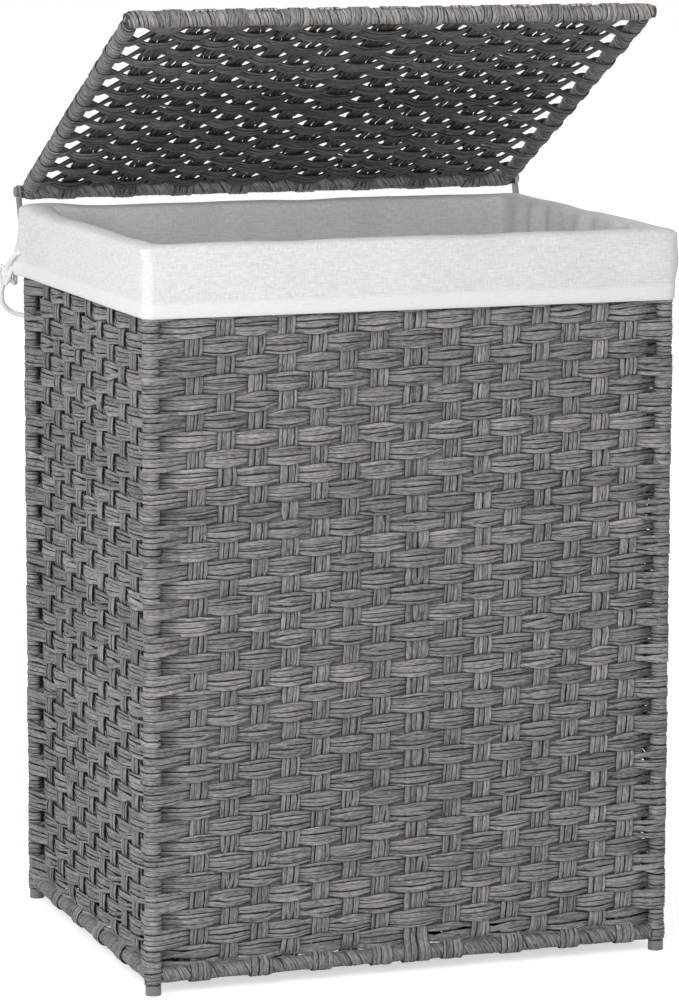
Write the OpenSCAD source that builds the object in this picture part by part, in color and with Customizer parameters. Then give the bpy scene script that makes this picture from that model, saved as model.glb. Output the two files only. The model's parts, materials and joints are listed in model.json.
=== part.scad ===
// Woven laundry hamper with a hinged lid and a removable cloth liner.
// The basket stands on four posts. Each wall is a plain weave: upright stakes, with weft rows passed in
// front of and behind them. Steel tubes carry the rim, the base and the lid, each wound with strand.
// The lid turns on two pins in lugs that stand on the rear posts.
// Millimetres, +Z up, front towards -Y. Origin on the floor, under the middle of the hamper.

/* [Basket] */
// Left post to right post, centre to centre
basket_w = 436; // [420:1:470]
// Front post to rear post, centre to centre
basket_d = 338; // [325:1:365]
// Floor to the top of the rim, with the liner folded over it
basket_h = 600; // [450:1:700]
// Height of the base rails' centres
base_z = 15.5; // [14.5:0.5:22]

/* [Rods and windings] */
// Diameter of the steel tubes of the frame
rod_dia = 10; // [8:0.5:10.5]
// Wall of the steel tubes
tube_wall = 0.8; // [0.6:0.1:1.2]
// Diameter of the solid cross rods under the floor
cross_rod_dia = 6; // [4:0.5:8]
// Diameter of a tube with its winding
wound_dia = 13.5; // [12:0.5:14]
// Diameter of the stiffening rods inside the middle stakes
centre_rod_dia = 3.5; // [3:0.5:3.8]

/* [Wall weave] */
// Weft rows from the base rail to the rim
wall_rows = 38; // [28:1:40]
// Stakes of the front and rear walls on each side of the middle one
front_stakes_per_side = 7; // [6:1:7]
// Middle stake to its neighbours, centre to centre
centre_gap = 30.7; // [28:0.1:31]
// Stake to stake, centre to centre, on the front, the rear, the lid and the floor
stake_pitch = 25.7; // [24:0.1:26]
// Width of a stake
stake_w = 15.6; // [12:0.1:17]
// Width of the middle stake of the front, the rear, the lid and the floor
centre_stake_w = 21; // [16:0.5:22]
// Stake to stake on the left and right walls
side_stake_pitch = 31; // [29:0.5:33]
// Thickness of a stake
stake_t = 1.3; // [1:0.1:1.8]
// Thickness of a middle stake, which holds a rod
centre_stake_t = 5; // [4.8:0.1:6]
// Thickness of a weft bundle
weft_t = 1.4; // [1:0.1:1.8]

/* [Lid] */
// Lid angle above level
lid_open = 27.6; // [0:0.1:100]
// Rear rail to front rail, centre to centre
lid_d = 345; // [335:1:350]
// Weft rows of the lid
lid_rows = 21; // [16:1:24]
// Width of one weft row of the lid
lid_weft_w = 12; // [8:0.5:13]
// Hinge axis behind the rear posts' centres
hinge_back = 11; // [10.5:0.5:12]
// Hinge axis above the rim
hinge_up = 12; // [11:0.5:14]

/* [Liner] */
// How far the cuff hangs below the rim outside
cuff_drop = 58; // [40:1:80]
// Height of the hem along the cuff's lower edge
hem_h = 13; // [8:1:20]
// Thickness of the folded cloth
liner_t = 1.2; // [1:0.1:1.2]

/* [Hidden] */
$fn = 48;

// Fits
weld_gap = 0.02;
wrap_gap = 0.05;
weave_gap = 0.2;
clear = 0.4;
running_gap = 0.05;

// How far a cutter reaches past the face it cuts
over = 1;

// Frame
half_w = basket_w / 2;
half_d = basket_d / 2;
rod_r = rod_dia / 2;
wound_r = wound_dia / 2;
centre_rod_r = centre_rod_dia / 2;
cross_rod_r = cross_rod_dia / 2;
tube_bore = rod_r - tube_wall;
rim_z = basket_h - liner_t - wrap_gap - wound_r;
wall_z0 = base_z + wound_r + weave_gap;
wall_z1 = rim_z - wound_r - weave_gap;

// Feet
foot_r = 6.25;
foot_h = 8;
foot_floor = 3;

// Hinge: lugs outside the lid's side rails, with pins in the ends of the lid's rear tube
hinge_y = half_d + hinge_back;
hinge_z = basket_h + hinge_up;
pin_r = 2.5;
pin_grip = 20;
pin_head_r = 4.2;
pin_head_t = 1.6;
lug_x = half_w + wound_r + clear;
lug_t = 2.5;
lug_eye_r = 5.5;
lug_w = 9;
lug_lap = 1;
lug_foot_z = basket_h - 20;

// Liner
bag_t = 0.6;
bag_w = basket_w - 2 * (wound_r + clear);
bag_d = basket_d - 2 * (wound_r + clear);
bag_corner_r = 10;
cuff_w = 2 * (lug_x + lug_t + clear + liner_t);
cuff_d = basket_d + 2 * (wound_r + clear + liner_t);
cuff_corner_r = 9;
hem_proud = 0.4;

// Slits in the cuff for the lugs, and the slot for the tie
slit_gap = 0.3;
slit_front = 8;
slit_d = 24;
slit_drop = 3;
tie_slot_d = 10;
tie_slot_h = 9;

// Floor panel, on two cross rods
floor_rod_x = basket_w / 4;
base_rod_places = [-floor_rod_x, 0, floor_rod_x];
floor_weave_z = base_z + cross_rod_r + weave_gap + centre_stake_t / 2 + weave_gap + weft_t;
floor_rows = 20;
floor_weft_w = 12;
bag_z = floor_weave_z + centre_stake_t / 2 + 2 * weave_gap + weft_t + clear;

// The bounding box is centred front to back: the lid's rear rail reaches further than the hem
front_reach = cuff_d / 2 + hem_proud;
rear_reach = hinge_y + wound_r;
shift_y = (front_reach - rear_reach) / 2;

// Tie: leaves its slot in the cuff's rear left corner, passes through its knot and goes back behind the post
tie_r = 2.2;
tie_steps = 2;
tie_sides = 8;
tie_side_view = [0.8, 0.6, 0];
tie_route = [
    [-230, 159, 563], [-234, 165, 560], [-237, 172, 553], [-238, 178, 545],
    [-239, 182, 536], [-240, 186, 526], [-238, 189, 516], [-231, 189, 509],
    [-222, 186, 506], [-214, 180, 505]
];
knot_points = [[-236, 176, 547], [-241, 181, 541], [-235, 181, 537], [-232, 177, 541]];
knot_r = 4.5;

strand_grey = [0.45, 0.43, 0.43];
stake_grey = [0.52, 0.50, 0.49];
steel = [0.62, 0.63, 0.65];
cap_grey = [0.72, 0.73, 0.74];
linen = [0.90, 0.90, 0.89];

// Stakes of a panel as [place, width, thickness]
front_stakes = [
    for (i = [-front_stakes_per_side : front_stakes_per_side])
        i == 0
            ? [0, centre_stake_w, centre_stake_t]
            : [sign(i) * (centre_gap + (abs(i) - 1) * stake_pitch), stake_w, stake_t]
];
side_stakes_per_side = 4;
side_stakes = [
    for (i = [-side_stakes_per_side : side_stakes_per_side]) [i * side_stake_pitch, stake_w, stake_t]
];

// Direction in which a bar from a to b turns from +Z; bars run along an axis
function bar_turn(a, b) = a.x != b.x ? [0, 90, 0] : a.y != b.y ? [-90, 0, 0] : [0, 0, 0];

// The stretches from a to b that leave a gap of width g at each of the places
function stretches(a, b, places, g) = [
    for (i = [0 : len(places)])
        [i == 0 ? a : places[i - 1] + g / 2, i == len(places) ? b : places[i] - g / 2]
];

// How far a weft bundle's middle stands off the middle of a stake
function weft_lift(stake) = stake[2] / 2 + weave_gap + weft_t / 2;

// Middle line of a weft row: in front of every second stake and behind the others
function weft_line(stakes, reach, row) = concat(
    [[-reach, 0]],
    [
        for (k = [0 : len(stakes) - 1], s = [-1, 1])
            [stakes[k][0] + s * stakes[k][1] / 2, ((k + row) % 2 == 0 ? 1 : -1) * weft_lift(stakes[k])]
    ],
    [[reach, 0]]
);

function reversed(list) = [for (i = [len(list) - 1 : -1 : 0]) list[i]];

// Catmull-Rom point between b and c
function curve_point(a, b, c, d, t) = 0.5 * (
    2 * b + (c - a) * t + (2 * a - 5 * b + 4 * c - d) * t * t + (3 * b - a - 3 * c + d) * t * t * t
);

function smooth_route(points, steps) = concat(
    [
        for (i = [0 : len(points) - 2], j = [0 : steps - 1])
            curve_point(
                points[max(i - 1, 0)], points[i], points[i + 1], points[min(i + 2, len(points) - 1)],
                j / steps
            )
    ],
    [points[len(points) - 1]]
);

module placed() {
    translate([0, shift_y, 0]) children();
}

// The lid's own frame: origin on the hinge axis, the lid reaching towards -Y
module on_lid() {
    placed() translate([0, hinge_y, hinge_z]) rotate([-lid_open, 0, 0]) children();
}

// A wall's own frame: x along the wall, +y outwards
module on_front() {
    placed() translate([0, -half_d, 0]) rotate(180) children();
}

module on_rear() {
    placed() translate([0, half_d, 0]) children();
}

module on_left() {
    placed() translate([-half_w, 0, 0]) rotate(90) children();
}

module on_right() {
    placed() translate([half_w, 0, 0]) rotate(-90) children();
}

// Solid or hollow bar between two points on a line along an axis, in either order
module bar(a, b, r, bore = 0) {
    start = [min(a.x, b.x), min(a.y, b.y), min(a.z, b.z)];
    translate(start) rotate(bar_turn(a, b)) difference() {
        cylinder(h = norm(b - a), r = r);
        if (bore > 0) translate([0, 0, -over]) cylinder(h = norm(b - a) + 2 * over, r = bore);
    }
}

// Winding of strand round a tube
module winding(a, b) {
    bar(a, b, wound_r, rod_r + wrap_gap);
}

// Winding along x, left open where rods of the given diameter meet the rail
module winding_x(reach, y, z, places, dia) {
    for (s = stretches(-reach, reach, places, dia + 2 * wrap_gap))
        winding([s[0], y, z], [s[1], y, z]);
}

module rounded_block(w, d, r) {
    square([w - 2 * r, d], center = true);
    square([w, d - 2 * r], center = true);
    for (sx = [-1, 1], sy = [-1, 1]) translate([sx * (w / 2 - r), sy * (d / 2 - r)]) circle(r);
}

// Stakes of a panel, from h0 to h1; a thick one is hollow for its rod
module panel_stakes(stakes, h0, h1, rod = true) {
    for (s = stakes) difference() {
        translate([s[0] - s[1] / 2, -s[2] / 2, h0]) cube([s[1], s[2], h1 - h0]);
        if (rod && s[2] > stake_t)
            translate([s[0], 0, h0 - over])
                cylinder(h = h1 - h0 + 2 * over, r = centre_rod_r + wrap_gap);
    }
}

// Weft rows of a panel, each one solid bent round the stakes; first shifts which stakes it goes in front of
module panel_wefts(stakes, reach, h0, h1, rows, row_w, first = 0) {
    pitch = (h1 - h0) / rows;
    for (row = [0 : rows - 1]) {
        line = weft_line(stakes, reach, row + first);
        translate([0, 0, h0 + row * pitch + (pitch - row_w) / 2]) linear_extrude(row_w) polygon(
            concat([for (p = line) p + [0, weft_t / 2]], [for (p = reversed(line)) p - [0, weft_t / 2]])
        );
    }
}

module post(sx, sy) {
    color(steel) placed()
        bar(
            [sx * half_w, sy * half_d, foot_floor], [sx * half_w, sy * half_d, rim_z + rod_r],
            rod_r, tube_bore
        );
}

module foot(sx, sy) {
    color(cap_grey) placed() translate([sx * half_w, sy * half_d, 0]) difference() {
        cylinder(h = foot_h, r = foot_r);
        translate([0, 0, foot_floor]) cylinder(h = foot_h, r = rod_r + weld_gap);
    }
}

// Open where the rails' tubes meet the post; the rear posts' windings stop under the hinge lugs' feet
module post_wrap(sx, sy) {
    top = sy > 0 ? lug_foot_z - wrap_gap : rim_z;
    color(strand_grey) placed() difference() {
        winding([sx * half_w, sy * half_d, foot_h + weave_gap], [sx * half_w, sy * half_d, top]);
        for (z = [base_z, rim_z]) {
            bar([0, sy * half_d, z], [sx * half_w, sy * half_d, z], rod_r + wrap_gap);
            bar([sx * half_w, 0, z], [sx * half_w, sy * half_d, z], rod_r + wrap_gap);
        }
    }
}

module rod_between_posts_x(sy, z) {
    reach = half_w - rod_r - weld_gap;
    color(steel) placed() bar([-reach, sy * half_d, z], [reach, sy * half_d, z], rod_r, tube_bore);
}

module rod_between_posts_y(sx, z) {
    reach = half_d - rod_r - weld_gap;
    color(steel) placed() bar([sx * half_w, -reach, z], [sx * half_w, reach, z], rod_r, tube_bore);
}

module rail_wrap_x(sy, z, places, dia) {
    color(strand_grey) placed() winding_x(half_w - wound_r - wrap_gap, sy * half_d, z, places, dia);
}

module rail_wrap_y(sx, z) {
    reach = half_d - wound_r - wrap_gap;
    color(strand_grey) placed() winding([sx * half_w, -reach, z], [sx * half_w, reach, z]);
}

module wall_stakes(stakes) {
    color(stake_grey) panel_stakes(stakes, wall_z0, wall_z1);
}

module wall_wefts(stakes, half_length, first) {
    row_w = (wall_z1 - wall_z0) / wall_rows - 2 * weave_gap;
    color(strand_grey)
        panel_wefts(stakes, half_length - wound_r - clear, wall_z0, wall_z1, wall_rows, row_w, first);
}

module centre_rods() {
    color(steel) placed() for (sy = [-1, 1])
        bar(
            [0, sy * half_d, base_z + rod_r + weld_gap], [0, sy * half_d, rim_z - rod_r - weld_gap],
            centre_rod_r
        );
}

module floor_rods() {
    reach = half_d - rod_r - weld_gap;
    color(steel) placed() for (sx = [-1, 1])
        bar([sx * floor_rod_x, -reach, base_z], [sx * floor_rod_x, reach, base_z], cross_rod_r);
}

module on_floor_panel() {
    placed() translate([0, half_d, floor_weave_z]) rotate([90, 0, 0]) children();
}

module floor_stakes() {
    edge = wound_r + clear;
    color(stake_grey) on_floor_panel() panel_stakes(front_stakes, edge, basket_d - edge, false);
}

module floor_wefts() {
    edge = wound_r + clear;
    color(strand_grey) on_floor_panel()
        panel_wefts(front_stakes, half_w - edge, edge, basket_d - edge, floor_rows, floor_weft_w);
}

// Flat bar that leans back from the rear post to the hinge axis, with a foot on the post
module hinge_lug(sx) {
    rise = [hinge_back, hinge_z - lug_foot_z];
    across = [rise.y, -rise.x] * lug_w / 2 / norm(rise);
    color(steel) placed() {
        difference() {
            union() {
                translate([sx > 0 ? lug_x : -lug_x - lug_t, half_d, lug_foot_z])
                    rotate([90, 0, 90]) linear_extrude(lug_t) difference() {
                        union() {
                            polygon([across, rise + across, rise - across, -across]);
                            translate(rise) circle(lug_eye_r);
                        }
                        translate(rise) circle(pin_r + running_gap);
                    }
                translate([sx > 0 ? half_w : -lug_x - lug_lap, half_d - lug_w / 2, lug_foot_z])
                    cube([lug_x + lug_lap - half_w, lug_w, lug_t]);
            }
            translate([sx * half_w, half_d, lug_foot_z - over])
                cylinder(h = lug_t + 2 * over, r = rod_r + weld_gap);
        }
    }
}

// Bag inside the basket, open at the top
module liner_bag() {
    top = basket_h - liner_t;
    color(linen) placed() difference() {
        translate([0, 0, bag_z]) linear_extrude(top - bag_z) rounded_block(bag_w, bag_d, bag_corner_r);
        translate([0, 0, bag_z + bag_t]) linear_extrude(top)
            rounded_block(bag_w - 2 * bag_t, bag_d - 2 * bag_t, bag_corner_r - bag_t);
    }
}

// Slits at the rear corners, where the lugs come out of the cuff
module lug_slits() {
    inner = lug_x - slit_gap;
    slit_w = lug_t + clear + slit_gap;
    for (sx = [-1, 1])
        translate([sx > 0 ? inner : -inner - slit_w, half_d - slit_front, lug_foot_z - slit_drop])
            cube([slit_w, slit_d, hinge_z - lug_foot_z]);
}

// Slot that the tie comes out of
module tie_slot() {
    translate([-cuff_w / 2 - over, tie_route[0].y - tie_slot_d / 2, tie_route[0].z - tie_slot_h / 2])
        cube([liner_t + 2 * over, tie_slot_d, tie_slot_h]);
}

// Cloth over the rim and down outside it
module liner_cuff() {
    color(linen) placed() difference() {
        translate([0, 0, basket_h - cuff_drop + hem_h]) linear_extrude(cuff_drop - hem_h)
            rounded_block(cuff_w, cuff_d, cuff_corner_r);
        translate([0, 0, basket_h - cuff_drop]) linear_extrude(cuff_drop - liner_t)
            rounded_block(cuff_w - 2 * liner_t, cuff_d - 2 * liner_t, cuff_corner_r - liner_t);
        linear_extrude(basket_h + over)
            rounded_block(bag_w - 2 * bag_t, bag_d - 2 * bag_t, bag_corner_r - bag_t);
        lug_slits();
        tie_slot();
    }
}

module liner_hem() {
    color(linen) placed() translate([0, 0, basket_h - cuff_drop]) linear_extrude(hem_h) difference() {
        rounded_block(cuff_w + 2 * hem_proud, cuff_d + 2 * hem_proud, cuff_corner_r + hem_proud);
        rounded_block(cuff_w - 2 * liner_t, cuff_d - 2 * liner_t, cuff_corner_r - liner_t);
    }
}

// Cord of round section along the tie's route
module tie_cord() {
    path = smooth_route(tie_route, tie_steps);
    last = len(path) - 1;
    ring = [
        for (i = [0 : last], k = [0 : tie_sides - 1])
            let (
                along = path[min(i + 1, last)] - path[max(i - 1, 0)],
                side = cross(along, tie_side_view) / norm(cross(along, tie_side_view)),
                up = cross(side, along) / norm(along),
                turn = 360 * k / tie_sides
            )
            path[i] + tie_r * (cos(turn) * side + sin(turn) * up)
    ];
    wall = [
        for (i = [0 : last - 1], k = [0 : tie_sides - 1])
            let (
                a = i * tie_sides + k,
                b = i * tie_sides + (k + 1) % tie_sides
            )
            each [[a, b, b + tie_sides], [a, b + tie_sides, a + tie_sides]]
    ];
    ends = [
        [for (k = [tie_sides - 1 : -1 : 0]) k],
        [for (k = [0 : tie_sides - 1]) last * tie_sides + k]
    ];
    color(linen) placed() polyhedron(ring, concat(wall, ends));
}

module tie_knot() {
    color(linen) placed() hull() for (p = knot_points) translate(p) sphere(knot_r, $fn = 16);
}

module lid_rod_x(y, bore) {
    reach = half_w + wound_r - wrap_gap;
    color(steel) on_lid() bar([-reach, y, 0], [reach, y, 0], rod_r, bore);
}

// From the rear tube to the front tube
module lid_rod_y(x, r, bore = 0) {
    edge = rod_r + weld_gap;
    color(steel) on_lid() bar([x, -edge, 0], [x, -lid_d + edge, 0], r, bore);
}

module lid_wrap_x(y) {
    reach = half_w + wound_r - wrap_gap;
    color(strand_grey) on_lid() winding_x(reach, y, 0, [-half_w, 0, half_w], rod_dia);
}

module lid_wrap_y(sx) {
    edge = wound_r + wrap_gap;
    color(strand_grey) on_lid()
        winding([sx * half_w, -edge, 0], [sx * half_w, -lid_d + edge, 0]);
}

module on_lid_panel() {
    on_lid() rotate([90, 0, 0]) children();
}

module lid_stakes() {
    edge = wound_r + clear;
    color(stake_grey) on_lid_panel() panel_stakes(front_stakes, edge, lid_d - edge);
}

module lid_wefts() {
    edge = wound_r + clear;
    color(strand_grey) on_lid_panel()
        panel_wefts(front_stakes, half_w - edge, edge, lid_d - edge, lid_rows, lid_weft_w);
}

// Pins pressed into the rear tube's ends, each with a head outside its lug
module hinge_pins() {
    head_x = lug_x + lug_t + clear;
    color(steel) on_lid() for (sx = [-1, 1]) {
        bar([sx * (lug_x - pin_grip), 0, 0], [sx * head_x, 0, 0], pin_r);
        bar([sx * head_x, 0, 0], [sx * (head_x + pin_head_t), 0, 0], pin_head_r);
    }
}

post(-1, -1);  // post_front_left
post(1, -1);  // post_front_right
post(-1, 1);  // post_rear_left
post(1, 1);  // post_rear_right
foot(-1, -1);  // foot_front_left
foot(1, -1);  // foot_front_right
foot(-1, 1);  // foot_rear_left
foot(1, 1);  // foot_rear_right
post_wrap(-1, -1);  // post_wrap_front_left
post_wrap(1, -1);  // post_wrap_front_right
post_wrap(-1, 1);  // post_wrap_rear_left
post_wrap(1, 1);  // post_wrap_rear_right
rod_between_posts_x(-1, rim_z);  // rim_rod_front
rod_between_posts_x(1, rim_z);  // rim_rod_rear
rod_between_posts_y(-1, rim_z);  // rim_rod_left
rod_between_posts_y(1, rim_z);  // rim_rod_right
rail_wrap_x(-1, rim_z, [0], centre_rod_dia);  // rim_wrap_front
rail_wrap_x(1, rim_z, [0], centre_rod_dia);  // rim_wrap_rear
rail_wrap_y(-1, rim_z);  // rim_wrap_left
rail_wrap_y(1, rim_z);  // rim_wrap_right
rod_between_posts_x(-1, base_z);  // base_rod_front
rod_between_posts_x(1, base_z);  // base_rod_rear
rod_between_posts_y(-1, base_z);  // base_rod_left
rod_between_posts_y(1, base_z);  // base_rod_right
rail_wrap_x(-1, base_z, base_rod_places, cross_rod_dia);  // base_wrap_front
rail_wrap_x(1, base_z, base_rod_places, cross_rod_dia);  // base_wrap_rear
rail_wrap_y(-1, base_z);  // base_wrap_left
rail_wrap_y(1, base_z);  // base_wrap_right
on_front() wall_stakes(front_stakes);  // stakes_front
on_rear() wall_stakes(front_stakes);  // stakes_rear
on_left() wall_stakes(side_stakes);  // stakes_left
on_right() wall_stakes(side_stakes);  // stakes_right
on_front() wall_wefts(front_stakes, half_w, 0);  // wefts_front
on_rear() wall_wefts(front_stakes, half_w, 0);  // wefts_rear
on_left() wall_wefts(side_stakes, half_d, 1);  // wefts_left
on_right() wall_wefts(side_stakes, half_d, 1);  // wefts_right
centre_rods();
floor_rods();
floor_stakes();
floor_wefts();
hinge_lug(-1);  // hinge_lug_left
hinge_lug(1);  // hinge_lug_right
liner_bag();
liner_cuff();
liner_hem();
tie_cord();
tie_knot();
lid_rod_x(-lid_d, tube_bore);  // lid_rod_front
lid_rod_x(0, pin_r);  // lid_rod_rear
lid_rod_y(-half_w, rod_r, tube_bore);  // lid_rod_left
lid_rod_y(half_w, rod_r, tube_bore);  // lid_rod_right
lid_rod_y(0, centre_rod_r);  // lid_rod_centre
lid_wrap_x(-lid_d);  // lid_wrap_front
lid_wrap_x(0);  // lid_wrap_rear
lid_wrap_y(-1);  // lid_wrap_left
lid_wrap_y(1);  // lid_wrap_right
lid_stakes();
lid_wefts();
hinge_pins();
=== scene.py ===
"""Woven laundry hamper: strands, windings, cloth liner and tie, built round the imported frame."""

import json
import math

import bpy
import numpy as np
from mathutils import Matrix, Vector


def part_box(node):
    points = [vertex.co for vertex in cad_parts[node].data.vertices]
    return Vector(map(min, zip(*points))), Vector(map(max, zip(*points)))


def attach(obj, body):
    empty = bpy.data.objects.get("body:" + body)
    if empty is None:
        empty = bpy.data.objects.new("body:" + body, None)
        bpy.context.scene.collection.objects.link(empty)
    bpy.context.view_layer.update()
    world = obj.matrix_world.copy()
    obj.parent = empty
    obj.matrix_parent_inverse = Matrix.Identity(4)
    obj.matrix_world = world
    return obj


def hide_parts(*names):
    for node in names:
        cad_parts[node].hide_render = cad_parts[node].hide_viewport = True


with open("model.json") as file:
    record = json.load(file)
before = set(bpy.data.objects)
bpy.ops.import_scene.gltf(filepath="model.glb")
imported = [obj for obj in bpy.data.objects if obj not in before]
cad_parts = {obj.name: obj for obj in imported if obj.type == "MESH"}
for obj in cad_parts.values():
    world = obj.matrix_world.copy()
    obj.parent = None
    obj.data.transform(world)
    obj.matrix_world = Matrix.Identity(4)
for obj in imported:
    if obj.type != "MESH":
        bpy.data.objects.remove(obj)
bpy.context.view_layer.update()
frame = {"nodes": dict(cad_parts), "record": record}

bl_info = {
    "name": "Woven Hamper",
    "version": (1, 0, 0),
    "blender": (4, 5, 0),
    "location": "View3D > Sidebar > Hamper",
    "description": "Builds a woven laundry hamper with a hinged lid and a cloth liner round its frame",
    "category": "Add Mesh",
}

MM = 0.001
HINGE = next(j for j in frame["record"]["behaviour"]["joints"] if j["name"] == "lid_hinge")


# Frame: places and sizes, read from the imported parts


def centre_of(name):
    low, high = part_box(name)
    return (Vector(low) + Vector(high)) / 2


def size_of(name):
    low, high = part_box(name)
    return Vector(high) - Vector(low)


FRONT_LEFT = centre_of("post_front_left")
REAR_RIGHT = centre_of("post_rear_right")
HALF_W = REAR_RIGHT.x
FRONT_Y = FRONT_LEFT.y
REAR_Y = REAR_RIGHT.y
MIDDLE_Y = (FRONT_Y + REAR_Y) / 2
HALF_D = (REAR_Y - FRONT_Y) / 2
ROD_R = size_of("base_rod_left").x / 2
BASE_Z = centre_of("base_rod_front").z
RIM_Z = centre_of("rim_rod_front").z
WALL_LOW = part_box("wefts_front")[0][2]
WALL_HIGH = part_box("wefts_front")[1][2]
FLOOR_Z = centre_of("floor_stakes").z
HINGE_AT = Vector(HINGE["pos_m"])
LID_FRONT = centre_of("lid_rod_front")
LID_REACH = Vector((0, LID_FRONT.y - HINGE_AT.y, LID_FRONT.z - HINGE_AT.z))
LID_D = LID_REACH.length
LID_WAY = LID_REACH.normalized()
LID_UNDER = Vector((0, -LID_WAY.z, LID_WAY.y))
SIDES = {"left": -1, "right": 1}
ENDS = {"front": -1, "rear": 1}


def stake_places(first, pitch, count):
    """Stakes to both sides of a middle one, from left to right."""
    right = [first + pitch * i for i in range(count)]
    return np.array([-x for x in reversed(right)] + [0.0] + right)


# The wider middle stake of the front pushes its neighbours further out than their pitch.
FRONT_STAKES = stake_places(30.7 * MM, 25.7 * MM, 7)
SIDE_STAKES = stake_places(31 * MM, 31 * MM, 4)
WALL_ROWS = 38
LID_ROWS = 21
FLOOR_ROWS = 20


# Settings that a user would change


class HamperStrandSettings(bpy.types.PropertyGroup):
    """Sizes and colours of the extruded strand"""

    light: bpy.props.StringProperty(
        name="Light", description="Lighter streaks of the strand, as sRGB hex", default="B0ABA8"
    )
    dark: bpy.props.StringProperty(
        name="Dark", description="Darker streaks of the strand, as sRGB hex", default="272423"
    )
    thickness: bpy.props.FloatProperty(
        name="Thickness", description="Thickness of a flat strand", default=1.25 * MM,
        unit="LENGTH", subtype="DISTANCE",
    )
    weft_lift: bpy.props.FloatProperty(
        name="Weft lift", description="How far a wall's weft row bends out round a stake",
        default=2.1 * MM, unit="LENGTH", subtype="DISTANCE",
    )
    stake_lift: bpy.props.FloatProperty(
        name="Stake lift", description="How far a wall's stake bends out between its wefts",
        default=0.9 * MM, unit="LENGTH", subtype="DISTANCE",
    )
    lid_lift: bpy.props.FloatProperty(
        name="Lid lift", description="How far the lid's weft rows bend out round a stake",
        default=2.9 * MM, unit="LENGTH", subtype="DISTANCE",
    )
    seed: bpy.props.IntProperty(
        name="Seed", description="Start of the random order of widths, tones and crossings", default=7
    )


class HamperLinerSettings(bpy.types.PropertyGroup):
    """Sizes and colours of the cloth"""

    cloth: bpy.props.StringProperty(name="Cloth", description="Colour of the liner, as sRGB hex", default="EDEDEC")
    thickness: bpy.props.FloatProperty(
        name="Thickness", description="Thickness of the cloth", default=0.7 * MM,
        unit="LENGTH", subtype="DISTANCE",
    )
    wrinkle: bpy.props.FloatProperty(
        name="Wrinkles", description="Depth of the soft wrinkles", default=1.0 * MM,
        unit="LENGTH", subtype="DISTANCE",
    )


class HamperStageSettings(bpy.types.PropertyGroup):
    """Floor, light and camera"""

    floor: bpy.props.StringProperty(name="Floor", description="Colour of the floor, as sRGB hex", default="F4F4F3")
    key: bpy.props.FloatProperty(
        name="Key light", description="Power of the large light in front", default=16.5,
        unit="POWER", subtype="POWER",
    )
    fill: bpy.props.FloatProperty(
        name="Fill light", description="Power of the light at the left", default=8.0,
        unit="POWER", subtype="POWER",
    )
    sky: bpy.props.FloatProperty(
        name="Sky", description="Strength of the even light from all sides", default=0.6
    )
    glow: bpy.props.FloatProperty(
        name="Floor's own light", description="Light of the floor itself where it is looked at", default=0.6
    )
    lens: bpy.props.FloatProperty(
        name="Lens", description="Focal length of the camera, in millimetres", default=160.8, unit="CAMERA"
    )


# Colours, nodes and materials


def linear(text):
    """sRGB hex to linear RGBA."""
    parts = [int(text[i : i + 2], 16) / 255 for i in (0, 2, 4)]
    return (*(c / 12.92 if c <= 0.04045 else ((c + 0.055) / 1.055) ** 2.4 for c in parts), 1.0)


def node(tree, kind, **given):
    """Adds a node. Each keyword is a field, or a socket by name or by number (_0); an output is linked to it."""
    made = tree.nodes.new(kind)
    for key, value in given.items():
        if hasattr(made, key):
            setattr(made, key, value)
            continue
        socket = made.inputs[int(key[1:]) if key[1:].isdigit() else key.replace("_", " ")]
        if isinstance(value, bpy.types.NodeSocket):
            tree.links.new(value, socket)
        else:
            socket.default_value = value
    return made


def new_material(name):
    """An empty material with its shader and its output."""
    made = bpy.data.materials.new(name)
    made.use_nodes = True
    tree = made.node_tree
    tree.nodes.clear()
    shader = node(tree, "ShaderNodeBsdfPrincipled")
    node(tree, "ShaderNodeOutputMaterial", Surface=shader.outputs["BSDF"])
    return made, tree, shader


def in_steps(tree, source, *sizes):
    """The given coordinates, counted along each axis in steps of a pattern's size."""
    scale = [1 / size for size in sizes]
    return node(tree, "ShaderNodeVectorMath", operation="MULTIPLY", _0=source, _1=scale).outputs[0]


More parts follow.
